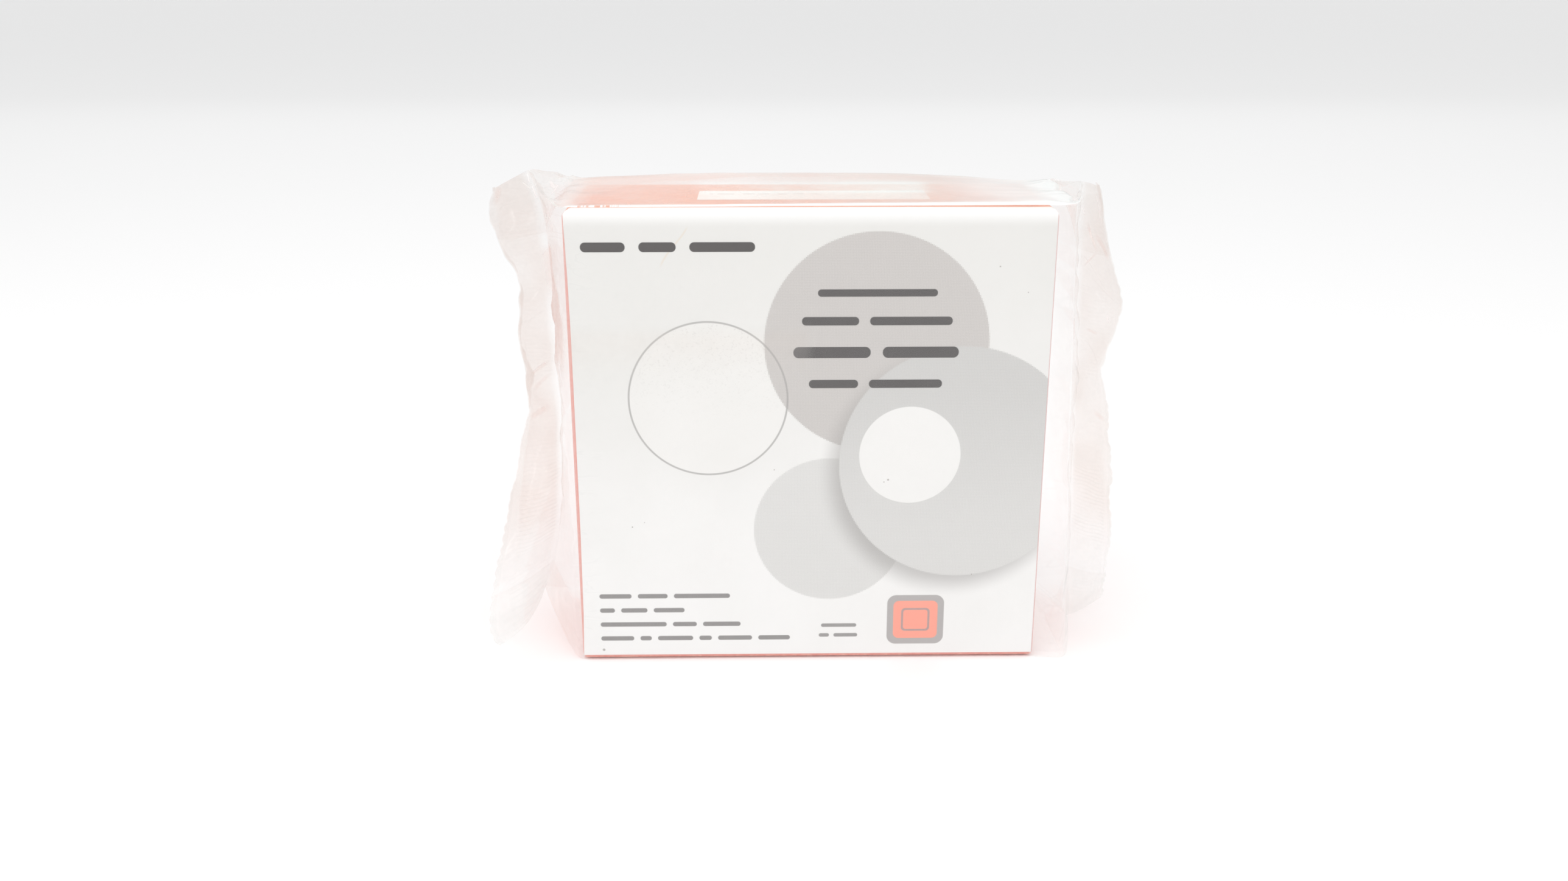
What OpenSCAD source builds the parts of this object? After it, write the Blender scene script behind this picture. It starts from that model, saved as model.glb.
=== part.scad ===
// Carton of microscope slides, unopened in its clear crimped film wrap.
// It stands on one narrow side. +X is to the right, +Y goes away from the
// printed face, +Z is up. The origin is on the standing surface, below the
// middle of the carton. All sizes are in millimetres.

/* [Carton] */
// Width of the carton along the slides' long edges
carton_w = 80; // [60:0.5:120]
// Depth of the carton across the slides' short edges
carton_d = 30; // [20:0.5:50]
// Height of the carton along the stack of slides
carton_h = 79.5; // [50:0.5:120]
// Radius of the carton's paper-covered edges
carton_r = 0.8; // [0.3:0.1:2]
// Radius of the four corners of the carton's face
corner_r = 1.4; // [0.5:0.1:3]

/* [Face label] */
// Thickness of the glossy face paper
label_t = 0.12; // [0.08:0.01:0.3]
// Width of box paper left bare below the label
label_bottom_gap = 0.8; // [0.2:0.1:3]
// Width of box paper left bare beside the label's left edge, at its widest
label_left_gap = 0.65; // [0.2:0.05:3]
// How far the label's turned-over end runs back along the top
label_tail = 0.8; // [0.4:0.1:4]
// Layer of glue between a label and the carton
glue_t = 0.02; // [0.01:0.01:0.05]

/* [Lot label] */
// Length of the white strip on top
lot_l = 39; // [20:0.5:50]
// Width of the white strip on top
lot_w = 10; // [5:0.5:14]
// Thickness of the white strip
lot_t = 0.1; // [0.08:0.01:0.2]
// Distance of the strip's middle from the carton's middle, front to back
lot_y = 0.2; // [-4:0.1:4]

/* [Film wrap] */
// Thickness of one layer of film
film_t = 0.05; // [0.04:0.01:0.15]
// Space between the film and the carton's front and back
film_gap = 0.35; // [0.25:0.05:1]
// Space between the film and the carton's top
film_top_gap = 0.9; // [0.4:0.1:2]
// Space between the film and the carton's left end
film_left_gap = 2.2; // [1:0.1:6]
// Space between the film and the carton's right end
film_right_gap = 4.4; // [1:0.1:8]
// Radius of the film tube's long edges
film_r = 1.2; // [0.8:0.1:2]
// Width of the crimped fin at its widest
fin_w = 14.8; // [8:0.2:20]
// Thickness of the crimped fin, over its ridges
fin_t = 0.4; // [0.2:0.05:1]
// Pitch of the saw-cut teeth along the fin's edge
tooth_pitch = 2.2; // [1.5:0.1:5]
// Depth of the saw-cut teeth
tooth_d = 0.45; // [0.3:0.05:1.5]
// Width of the lap seam along the back
seam_w = 11; // [6:0.5:16]

/* [Hidden] */
$fn = 48;

// The carton rests on the bottom layer of film.
z0 = film_t + 0.05;
z1 = z0 + carton_h;

// Inside of the film tube
in_x0 = -carton_w / 2 - film_left_gap;
in_x1 = carton_w / 2 + film_right_gap;
in_y = carton_d / 2 + film_gap;
in_z0 = film_t;
in_z1 = z1 + film_top_gap;

// Bare paper left of the label at a height, as a part of its full width: the
// label's edge is cut a little hollow, and comes close to the box's corners.
label_left_shape = [[0, 0.3], [8, 0.75], [25, 1.0], [58, 1.0], [70, 0.8], [76, 0.5], [81, 0.3]];

// Width of each fin at a height, as a part of its full width: pinched at
// the middle of the pack, full at the foot, rounded off at the top.
left_shape = [[0, 1.0], [10, 1.0], [20, 0.86], [31, 0.73], [42, 0.57], [46, 0.55], [52, 0.65],
              [62, 0.62], [67, 0.68], [71, 0.8], [75, 0.9], [79, 0.88], [84, 0.4]];
right_shape = [[1, 0.84], [15, 0.88], [27, 0.84], [38, 0.76], [47, 0.64], [55, 0.76],
               [60, 0.78], [67, 0.65], [79, 0.48], [84, 0.3]];

// Rectangle with round corners, from straight sides and true arcs
module soft_rect(w, h, r) {
  square([w - 2 * r, h], center = true);
  square([w, h - 2 * r], center = true);
  for (sx = [-1, 1], sy = [-1, 1])
    translate([sx * (w / 2 - r), sy * (h / 2 - r)]) circle(r);
}

// Block that fills the carton's outline in front view, with its corner radius
module front_prism(w, h, r, d) {
  translate([0, d / 2, z0 + carton_h / 2]) rotate([90, 0, 0])
    linear_extrude(d) soft_rect(w, h, r);
}

// Block that fills the carton's outline in side view, grown by g all round
module side_prism(l, g) {
  translate([-l / 2, 0, z0 + carton_h / 2]) rotate([90, 0, 90])
    linear_extrude(l) soft_rect(carton_d + 2 * g, carton_h + 2 * g, carton_r + g);
}

// The carton with its slides, sealed: one solid
module carton() {
  color([0.93, 0.36, 0.27])
    intersection() {
      front_prism(carton_w, carton_h, corner_r, carton_d + 2);
      side_prism(carton_w + 2, 0);
      translate([0, 0, z0 - 1]) linear_extrude(carton_h + 2)
        soft_rect(carton_w, carton_d, carton_r);
    }
}

// Outline of the face label in front view
module label_outline() {
  polygon(concat([[carton_w / 2 - 0.25, z0 + label_bottom_gap], [carton_w / 2 - 0.1, z1 + 1]],
                 [for (z = [z1 + 1 : -(z1 + 1 - z0 - label_bottom_gap) / 20 : z0 + label_bottom_gap - 0.01])
                   [-carton_w / 2 + label_left_gap * lookup(z, label_left_shape), z]]));
}

// Glossy face label: a skin over the front that turns over the top edge
module face_label() {
  color([0.95, 0.95, 0.94])
    intersection() {
      difference() {
        side_prism(carton_w + 2, glue_t + label_t);
        side_prism(carton_w + 4, glue_t);
      }
      translate([0, -carton_d / 2 + carton_r + label_tail, 0]) rotate([90, 0, 0])
        linear_extrude(carton_r + label_tail + 1) label_outline();
      front_prism(carton_w - 0.2, carton_h + 2 * (glue_t + label_t), corner_r + 0.1, carton_d + 4);
    }
}

// White strip stuck on the carton's top side
module lot_label() {
  color([0.96, 0.96, 0.94])
    translate([0.8 - lot_l / 2, lot_y - lot_w / 2, z1 + glue_t])
      cube([lot_l, lot_w, lot_t]);
}

// Saw-cut edge points of one fin, from its foot at za up to zb
function fin_edge(shape, za, zb) =
  [for (i = [0 : floor((zb - za) / tooth_pitch * 2)])
    let (z = za + i * tooth_pitch / 2)
    [fin_w * lookup(z, shape) + (i % 2) * tooth_d, z]];

// One crimped fin: a flat plate that stands out from the middle of the end.
// Its foot is tucked up to z_foot at the root and comes down to za at the rim.
module fin(side, x_root, z_foot, za, zb, shape) {
  translate([0, fin_t / 2, 0]) rotate([90, 0, 0]) linear_extrude(fin_t)
    polygon([for (p = concat([[-film_t / 2, z_foot], [fin_w * 0.42, z_foot]],
                             fin_edge(shape, za, zb),
                             [[fin_w * 0.2, zb + 0.6], [-film_t / 2, in_z1 + film_t]]))
              [x_root + side * p[0], p[1]]]);
}

// Rounded block of the tube's section, grown outwards by g
module tube_block(g) {
  h = in_z1 - in_z0;
  translate([in_x0 - g, 0, (in_z0 + in_z1) / 2]) rotate([90, 0, 90])
    linear_extrude(in_x1 - in_x0 + 2 * g)
      soft_rect(2 * in_y + 2 * g, h + 2 * g, film_r + g);
}

// Film wrap: tube and end panels in one skin, a fin at each end, a lap seam behind
module film_wrap() {
  color([0.97, 0.90, 0.88, 0.35]) {
    difference() {
      union() {
        tube_block(film_t);
        fin(-1, in_x0 - film_t / 2, 7.5, 0.3, 83.6, left_shape);
        fin(1, in_x1 + film_t / 2, 3, 4.5, 82.6, right_shape);
        translate([in_x0 + 1, in_y + film_t / 2, 34])
          cube([in_x1 - in_x0 - 2, film_t * 2.5, seam_w]);
      }
      tube_block(0);
    }
  }
}

carton();
face_label();
lot_label();
film_wrap();
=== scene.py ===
"""Looks for the wrapped carton of microscope slides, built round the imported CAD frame."""

import math

import bpy
import numpy as np
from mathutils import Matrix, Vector


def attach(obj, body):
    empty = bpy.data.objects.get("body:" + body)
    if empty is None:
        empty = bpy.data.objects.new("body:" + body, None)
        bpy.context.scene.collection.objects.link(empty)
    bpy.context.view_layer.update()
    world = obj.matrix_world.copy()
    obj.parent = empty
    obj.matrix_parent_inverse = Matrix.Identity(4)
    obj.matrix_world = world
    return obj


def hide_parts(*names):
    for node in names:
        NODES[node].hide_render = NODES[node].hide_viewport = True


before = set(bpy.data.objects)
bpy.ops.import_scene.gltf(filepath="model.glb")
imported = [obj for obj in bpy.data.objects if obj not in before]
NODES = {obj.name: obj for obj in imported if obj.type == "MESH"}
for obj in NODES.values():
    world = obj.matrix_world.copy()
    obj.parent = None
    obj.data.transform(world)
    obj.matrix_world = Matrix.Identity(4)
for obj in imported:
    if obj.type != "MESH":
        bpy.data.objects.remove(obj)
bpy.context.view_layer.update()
MM = 0.001


# ------------------------------------------------------------------ camera, lights, floor


def camera():
    data = bpy.data.cameras.new("camera")
    data.sensor_width = 36.0
    data.lens = 31.83
    data.clip_start, data.clip_end = 0.005, 50.0
    obj = bpy.data.objects.new("camera", data)
    bpy.context.scene.collection.objects.link(obj)
    obj.location = (-0.0078, -0.2372, 0.1139)
    obj.rotation_euler = (math.radians(90 - 18.233), 0.0, math.radians(-0.892))
    bpy.context.scene.camera = obj


def area_light(name, at, target, size, power, color=(1, 1, 1)):
    data = bpy.data.lights.new(name, "AREA")
    data.shape = "RECTANGLE"
    data.size, data.size_y = size
    data.energy = power
    data.color = color
    obj = bpy.data.objects.new(name, data)
    bpy.context.scene.collection.objects.link(obj)
    obj.location = at
    aim = Vector(target) - Vector(at)
    obj.rotation_euler = aim.to_track_quat("-Z", "Y").to_euler()
    obj.visible_camera = False
    return obj


def studio():
    scene = bpy.context.scene
    scene.view_settings.view_transform = "Standard"
    # a look through the pack crosses many layers of film
    scene.cycles.transparent_max_bounces = 64
    scene.cycles.max_bounces = 24
    scene.cycles.glossy_bounces = 12
    scene.cycles.diffuse_bounces = 6
    world = bpy.data.worlds.new("studio")
    scene.world = world
    world.use_nodes = True
    back = world.node_tree.nodes["Background"]
    back.inputs["Color"].default_value = (1.0, 1.0, 1.0, 1)
    back.inputs["Strength"].default_value = 0.85
    area_light("top_box", (-0.05, -0.26, 0.70), (0, 0, 0), (0.7, 0.35), 1.5)
    area_light("front_box", (0.10, -0.95, 0.40), (0, 0, 0.03), (1.1, 0.35), 0.66)
    area_light("back_box", (0.0, 1.1, 0.50), (0, 0, 0.08), (1.6, 0.5), 0.5)
    area_light("left_strip", (-0.55, -0.22, 0.32), (0, 0, 0.05), (0.05, 0.45), 0.12)
    area_light("right_strip", (0.55, -0.25, 0.36), (0, 0, 0.05), (0.05, 0.45), 0.12)

    mesh = bpy.data.meshes.new("floor")
    s = 30.0
    mesh.from_pydata([(-s, -s, 0), (s, -s, 0), (s, s, 0), (-s, s, 0)], [], [(0, 1, 2, 3)])
    floor = bpy.data.objects.new("floor", mesh)
    scene.collection.objects.link(floor)
    mat = bpy.data.materials.new("floor_white")
    mat.use_nodes = True
    p = mat.node_tree.nodes["Principled BSDF"]
    p.inputs["Base Color"].default_value = (0.93, 0.93, 0.93, 1)
    p.inputs["Roughness"].default_value = 0.7
    p.inputs["Specular IOR Level"].default_value = 0.2
    mesh.materials.append(mat)
    # a wash on the floor alone, so that it stays white next to the coral box
    wash = area_light("floor_wash", (0.0, 0.15, 1.5), (0, 0.15, 0), (1.6, 1.2), 2.0)
    only = bpy.data.collections.new("floor_only")
    only.objects.link(floor)
    wash.light_linking.receiver_collection = only


# ------------------------------------------------------------------ noise and small maths


def lattice(seed, n=64):
    g = np.random.default_rng(seed).uniform(-1, 1, (n, n))

    def f(a, b):
        i, j = np.floor(a).astype(int), np.floor(b).astype(int)
        s, t = a - i, b - j
        s = s * s * s * (s * (s * 6 - 15) + 10)
        t = t * t * t * (t * (t * 6 - 15) + 10)
        i0, i1, j0, j1 = i % n, (i + 1) % n, j % n, (j + 1) % n
        return (g[i0, j0] * (1 - s) * (1 - t) + g[i1, j0] * s * (1 - t)
                + g[i0, j1] * (1 - s) * t + g[i1, j1] * s * t)

    return f


def step01(a, b, x):
    t = np.clip((x - a) / (b - a), 0, 1)
    return t * t * (3 - 2 * t)


def curve(x, points):
    """Smooth curve through given points [(x, y), ...]."""
    px = np.array([p[0] for p in points], float)
    py = np.array([p[1] for p in points], float)
    m = np.gradient(py, px)
    x = np.clip(x, px[0], px[-1])
    k = np.clip(np.searchsorted(px, x) - 1, 0, len(px) - 2)
    h = px[k + 1] - px[k]
    t = (x - px[k]) / h
    return ((2 * t**3 - 3 * t**2 + 1) * py[k] + (t**3 - 2 * t**2 + t) * h * m[k]
            + (-2 * t**3 + 3 * t**2) * py[k + 1] + (t**3 - t**2) * h * m[k + 1])


# ------------------------------------------------------------------ the film, one closed skin

# Millimetres, in the CAD's frame. The film is one tube. A ring round it runs from the middle of
# the bottom over front, top and back: six stretches, of which the top and bottom ones tuck in
# between front and back at each end.
STEP = 4                    # a fin's ring has this many samples for each of the tube's
RIDGE_PITCH = 0.72          # crimp ridges, along the fin's root
YF, YB = 15.30, 15.30       # film's distance from the middle plane, front and back
HOLD = 0.12                 # least room between film and what it wraps


def stations(total, near, n, both):
    """n + 1 distances along a stretch, close together next to its folded ends."""
    near = np.array(near)
    if both:
        mid = np.linspace(near[-1], total - near[-1], n + 1 - 2 * (len(near) - 1))
        return np.concatenate([near[:-1], mid, (total - near[:-1])[::-1]]) / total
    return np.concatenate([near[:-1], np.linspace(near[-1], total, n + 2 - len(near))]) / total


def ring_param():
    """Each sample's stretch and its place along it, on a fin's ring."""
    near = [0, 0.16, 0.32, 0.48, 0.64, 0.8, 0.98, 1.2, 1.5, 1.9]
    face = stations(80.5, near, 168, True)
    half = stations(15.3, near, 22, False)
    seg, v = [], []
    for s, line in enumerate([1 - half[::-1], face, half, 1 - half[::-1], face, half]):
        fine = np.interp(np.arange((len(line) - 1) * STEP + 1) / STEP, np.arange(len(line)), line)[:-1]
        seg += [s] * len(fine)
        v += list(fine)
    return np.array(seg), np.array(v)


SEG, V = ring_param()
LEGS = np.array([YF, 80.5, YF, YB, 80.5, YB])
RING = (np.cumsum(LEGS) - LEGS)[SEG] + V * LEGS[SEG]      # distance round the tube, mm


def lift(x, y, z):
    """Height of a tube point once the slack top sheet has its rise towards the back."""
    front = curve(x, [(-45, 80.35), (-20, 80.4), (0, 80.5), (30, 80.65), (46, 80.65)])
    back = curve(x, [(-46, 80.7), (-36, 80.9), (-22, 81.45), (-2, 81.6), (19, 81.35), (30, 80.9), (39, 80.2), (46, 80.1)])
    top = front + (back - front) * step01(-13, 15, y)
    return z + (top - 80.5) * step01(77.5, 80.5, z)


def rect_ring(seg, v, rho=0.6):
    """(y, z) round the tube's section, with soft corners."""
    depth, h = YF + YB, 80.5
    legs = [YF, h, YF, YB, h, YB]
    starts = np.concatenate([[0], np.cumsum(legs)])
    total = starts[-1]
    a = starts[seg] + v * np.array(legs)[seg]

    def place(a):
        a = a % total
        y, z = np.zeros_like(a), np.zeros_like(a)
        m = a < YF
        y[m], z[m] = -a[m], 0
        m = (a >= YF) & (a < YF + h)
        y[m], z[m] = -YF, a[m] - YF
        m = (a >= YF + h) & (a < YF + h + depth)
        y[m], z[m] = -YF + (a[m] - YF - h), h
        m = (a >= YF + h + depth) & (a < YF + 2 * h + depth)
        y[m], z[m] = YB, h - (a[m] - YF - h - depth)
        m = a >= YF + 2 * h + depth
        y[m], z[m] = YB - (a[m] - YF - 2 * h - depth), 0
        return y, z

    y, z = place(a)
    for c in (YF, YF + h, YF + h + depth, YF + 2 * h + depth):
        d = a - c
        m = np.abs(d) < rho
        if m.any():
            y0, z0 = place(np.array([c - rho]))
            y1, z1 = place(np.array([c]))
            y2, z2 = place(np.array([c + rho]))
            t = (d[m] + rho) / (2 * rho)
            y[m] = (1 - t) ** 2 * y0 + 2 * t * (1 - t) * y1 + t**2 * y2
            z[m] = (1 - t) ** 2 * z0 + 2 * t * (1 - t) * z1 + t**2 * z2
    return y, z


ENDS = {
    -1: {
        "edge": [(0, -40.75), (20, -40.75), (60, -40.65), (81, -40.7)],
        "root": [(7.5, -48.6), (9, -47.9), (12, -46.9), (16, -46.0), (22, -44.9), (34, -43.9),
                 (46, -43.7), (60, -44.2), (71, -44.6), (78, -45.5), (84, -47.4)],
        "root_y": [(7.5, 0), (14, -0.4), (22, 0), (70, 0), (84, 0.5)],
        # height at the root, then where that line ends at the fin's rim
        "rim": [(7.5, -55.6, -9.6, 0.25), (8.2, -56.6, -9.2, 1.2), (9.2, -57.1, -8.8, 3.2), (10.8, -57.1, -8.2, 5.8), (13, -56.8, -7.2, 8.8),
                (16, -56.2, -5.8, 12.3), (19.5, -55.5, -4.0, 16.2), (23.5, -54.9, -1.2, 20.3), (28, -54.2, 2.6, 25.0),
                (33, -53.0, 6.0, 30.6),
                (38, -52.1, 8.0, 35.6), (43, -50.6, 9.2, 41.7), (47, -50.4, 9.3, 46.1), (52, -51.9, 8.2, 51.4),
                (58, -51.5, 8.4, 57.4), (63, -51.2, 8.6, 62.1), (68, -52.2, 7.8, 66.7), (73, -54.2, 6.4, 71.0),
                (77, -55.5, 5.6, 74.6), (80, -55.8, 6.2, 77.1), (82.3, -55.4, 7.2, 79.2), (84, -54.8, 8.0, 80.2)],
        "z": (7.5, 84.0), "tuck": (5.5, 10.5), "foot": (7.0, 0.0, (1.6, -2.6, -1.6)), "width": 13.2, "smooth": 3.2, "seed": 11,
    },
    1: {
        "edge": [(0, 45.2), (5, 44.9), (20, 44.6), (40, 44.0), (60, 43.5), (81, 42.9)],
        "root": [(0, 49.0), (10, 48.6), (20, 48.2), (40, 47.4), (60, 46.7), (72, 46.3), (78, 46.2), (82, 46.6)],
        "root_y": [(0, -0.5), (10, 0), (70, 0), (82, 0)],
        "rim": [(1, 56.8, 5.3, 1.9), (5, 57.0, 5.2, 3.4), (9, 57.1, 5.0, 5.7), (13.5, 57.4, 4.6, 9.4),
                (19, 57.5, 4.4, 14.5), (24.5, 57.2, 4.4, 20.2), (30.5, 56.8, 4.8, 26.5), (36, 56.2, 5.4, 32.3),
                (41, 55.6, 5.8, 37.5), (45.5, 54.8, 6.4, 42.6), (49.5, 53.9, 6.8, 47.0), (53, 54.7, 5.6, 50.5),
                (57.5, 55.6, 4.0, 55.2), (61.5, 55.9, 3.2, 59.5), (65.5, 55.2, 3.6, 63.0), (69.5, 54.1, 4.5, 67.2),
                (73.5, 53.1, 5.5, 71.4), (77, 52.2, 6.6, 75.5), (80.5, 51.5, 7.5, 79.3), (82, 51.0, 8.0, 80.7)],
        "z": (1.0, 82.0), "tuck": (10.0, 11.5), "foot": (7.0, 0.85, (0, 0, 0)), "width": 10.5, "smooth": 2.0, "seed": 23,
    },
}


def root_ring(side, seg, v):
    """(x, y, z) of the line where the end panels meet the fin, and each layer's place across it."""
    e = ENDS[side]
    zb, zt = e["z"]
    gb, gt = e["tuck"]
    z = np.select(
        [seg == 0, seg == 1, seg == 2, seg == 3, seg == 4],
        [zb + (1 - v) * gb, zb + v * (zt - zb), zt - v * gt, zt - (1 - v) * gt, zt - v * (zt - zb)],
        zb + v * gb)
    layer = np.select([seg == 0, seg == 1, seg == 2, seg == 3, seg == 4], [-0.05, -0.13, -0.05, 0.05, 0.13], 0.05)
    # layers meet softly at the folded top and bottom edges
    near = np.minimum(np.abs(z - zt), np.abs(z - zb))
    layer = layer * (0.35 + 0.65 * step01(0, 1.2, near))
    return curve(z, e["root"]), curve(z, e["root_y"]) + layer, z, layer


def rim_point(side, z):
    """The fin's rim: half a smooth curve, half straight from point to point, as folded film is."""
    rows = ENDS[side]["rim"]
    return np.stack([0.35 * curve(z, [(r[0], r[k]) for r in rows])
                     + 0.65 * np.interp(z, [r[0] for r in rows], [r[k] for r in rows]) for k in (1, 2, 3)], 1)


def fin_sheet(side, z, t):
    """Middle surface of a fin: z picks a line across it, t runs from root (0) to rim (1)."""
    e = ENDS[side]
    n1, n2 = lattice(e["seed"]), lattice(e["seed"] + 1)
    a = np.stack([curve(z, e["root"]), curve(z, e["root_y"]), z], 1)
    c = rim_point(side, z)
    chord = c - a
    length = np.linalg.norm(chord, axis=1)
    along = chord / length[:, None]
    w = e["width"]
    sag = np.sqrt(np.maximum(3 * length * np.maximum(w - length, 0.15) / 8, 0.05))
    sag = sag * (1 + 0.30 * n1(z / 8.0, np.zeros_like(z)) + 0.15 * n2(z / 3.1, np.zeros_like(z)))
    front = along * along[:, 1:2]
    front[:, 1] -= 1
    front /= np.linalg.norm(front, axis=1)[:, None]
    foot = (1 - step01(e["z"][0] + 0.5, e["z"][0] + e["foot"][0], z))[:, None]
    b = (a + c) / 2 + 2 * sag[:, None] * front * (1 - e["foot"][1] * foot) + foot * np.array(e["foot"][2])
    t = np.asarray(t)[..., None] if np.ndim(t) else t
    p = (1 - t) ** 2 * a + 2 * t * (1 - t) * b + t**2 * c
    d = 2 * (1 - t) * (b - a) + 2 * t * (c - b)
    return p, d


def fin_points(side, seg, v, u):
    """Points of the fin at u mm from its root, for each ring sample, and how milky each is."""
    e = ENDS[side]
    _, _, z, layer = root_ring(side, seg, v)
    w = e["width"]
    zb, zt = e["z"]
    n1, n2, n3, n4 = (lattice(e["seed"] + k) for k in (2, 3, 4, 5))
    t = u / w
    p, dt = fin_sheet(side, z, t)
    dz = fin_sheet(side, z + 0.05, t)[0] - fin_sheet(side, z - 0.05, t)[0]
    n = -side * np.cross(dt, dz)
    n /= np.maximum(np.linalg.norm(n, axis=1), 1e-9)[:, None]
    out = dt / np.linalg.norm(dt, axis=1)[:, None]
    u = np.full_like(z, u)
    # crimp ridges, gathers that cross them, and a loose wavy margin
    crimped = step01(0.5, 1.8, u) * (1 - step01(w - e["smooth"] - 0.6, w - e["smooth"] + 0.5, u))
    margin = step01(w - e["smooth"] - 0.4, w, u)
    lump = np.clip(0.55 + 0.9 * n3(z / 3.3, u / 5.0), 0.0, 1.3)
    phase = (z - zb) / RIDGE_PITCH + 0.5 * n2(z / 4.0, u / 3.5)
    wave = np.sin(2 * np.pi * phase)
    broad = n3(z / 5.5 + 3.1, u / 6.0)
    ripple = (1 - 0.85 * step01(24, 38, z)) * (0.35 + 0.65 * step01(14, 22, z))
    off = 0.028 * crimped * lump * wave * ripple
    off += margin * (0.32 * n1(z / 2.6 + 9.3, u * 0 + 0.4) + 0.05 * n2(z / 1.3, u * 0 + 0.2))
    off += 0.30 * broad * step01(0, 3, u)
    off += 0.10 * (1 - 2 * np.abs(n4(z / 3.0 + 0.35 * u, u / 9.0))) * step01(0, 2, u)
    off = off + layer * (1.0 - 0.55 * crimped - 0.35 * margin)
    saw = 0.34 * np.abs(np.sin(np.pi * rim_length(side, z) / 2.1 + 0.4 * n1(z / 6, u * 0))) * step01(w - 1.2, w, u)
    p = p + n * off[:, None] + out * saw[:, None]
    # hazier where crimped, and whiter on the ridge crests: partly the crimp's haze, partly painted highlight
    haze_and_painted_sheen = 0.07 + crimped * (0.045 + 0.08 * ripple * lump * np.maximum(wave, 0) ** 3) + 0.03 * np.clip(n4(z / 9, u / 8), 0, 1)
    haze_and_painted_sheen += 0.03 * step01(62, 72, z) + 0.04 * (1 - step01(0, 0.5, u))
    # the rim is a paler strip, low down
    strip = step01(w - 1.0, w - 0.8, u) * (1 - step01(46, 56, z))
    haze_and_painted_sheen += 0.11 * strip + 0.04 * step01(w - 0.3, w - 0.05, u)
    # painted shade: a darker line along the rim, higher up
    painted_rim_shade = step01(w - 0.3, w - 0.05, u) * step01(46, 56, z)
    # painted reflection of the coral box: pinker in the crimped band
    blush = crimped * step01(10, 30, z) * (0.30 + 0.20 * np.clip(n3(z / 14 + 2.2, u / 9), -1, 1)) * (1 - strip)
    blush = blush * (1 - 0.6 * step01(42, 48, z) * (1 - step01(56, 62, z)))
    # on the left, more painted reflection of the coral box: a band at middle height and a wedge by the root higher up
    if side < 0:
        blush += 0.35 * crimped * step01(18, 26, z) * (1 - step01(42, 50, z))
        haze_and_painted_sheen += 0.05 * crimped * step01(18, 26, z) * (1 - step01(42, 50, z)) * (1 - strip)
        wedge = (1 - step01(0.4, 1.6, u)) * step01(58, 67, z) * (1 - step01(70, 72, z)) * (seg == 1)
        haze_and_painted_sheen += 0.30 * wedge
        blush = np.maximum(blush, wedge)
    inner = (seg != 1) & (seg != 4)
    haze_and_painted_sheen = np.where(inner, haze_and_painted_sheen * 0.15, haze_and_painted_sheen)
    dim = (0.15 + 0.85 * step01(14, 30, z) * (1 - 0.35 * step01(64, 76, z))) * step01(0, 1.5, u)
    # the feet are in front of the lit floor, and look clearer there
    low = 1 - (step01(9.5, 16, z) if side < 0 else step01(10, 18, z))
    dim = dim * (0.85 + 0.3 * n3(z / 7 + 4.4, u / 6)) - (0.45 if side < 0 else 0.2) * low * step01(0, 1.5, u)
    dim = np.where(inner, 0.1 - 0.05 * low, dim)
    look = {"dim": dim, "veil": haze_and_painted_sheen, "shine": np.where(inner, 0.1, 0.55), "blush": blush, "shade": np.maximum(0.5 * painted_rim_shade, 0.4), "fold": 0 * z,
            "across": RING, "along": side * (46.0 + u), "crease": np.where(inner, 0.03, 0.10 + (0.14 if side < 0 else 0.06) * step01(66, 76, z))}
    return p, look


def rim_length(side, z):
    """Distance along the fin's rim to the line that starts at height z on its root."""
    e = ENDS[side]
    zz = np.linspace(e["z"][0], e["z"][1], 500)
    rim = rim_point(side, zz)
    run = np.concatenate([[0], np.cumsum(np.linalg.norm(np.diff(rim, axis=0), axis=1))])
    return np.interp(z, zz, run)


def tube_point(side, seg, v, w):
    """Points of the end panels, from the tube's edge at w = 0 to the fin's root at w = 1."""
    e = ENDS[side]
    y0, z0 = rect_ring(seg, v)
    x0 = curve(z0, e["edge"])
    z0 = lift(x0, y0, z0)
    x1, y1, z1, _ = root_ring(side, seg, v)
    # a loose panel bows outwards a little, and more in the middle of its height
    face = (seg == 1) | (seg == 4)
    bow = np.sin(np.pi * w) * np.where(face, 0.5 * np.sin(np.pi * v), 0.25)
    x = x0 + (x1 - x0) * w ** 0.9 + side * bow
    y = y0 + (y1 - y0) * w
    z = z0 + (z1 - z0) * w
    return np.stack([x, y, z], 1)


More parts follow.
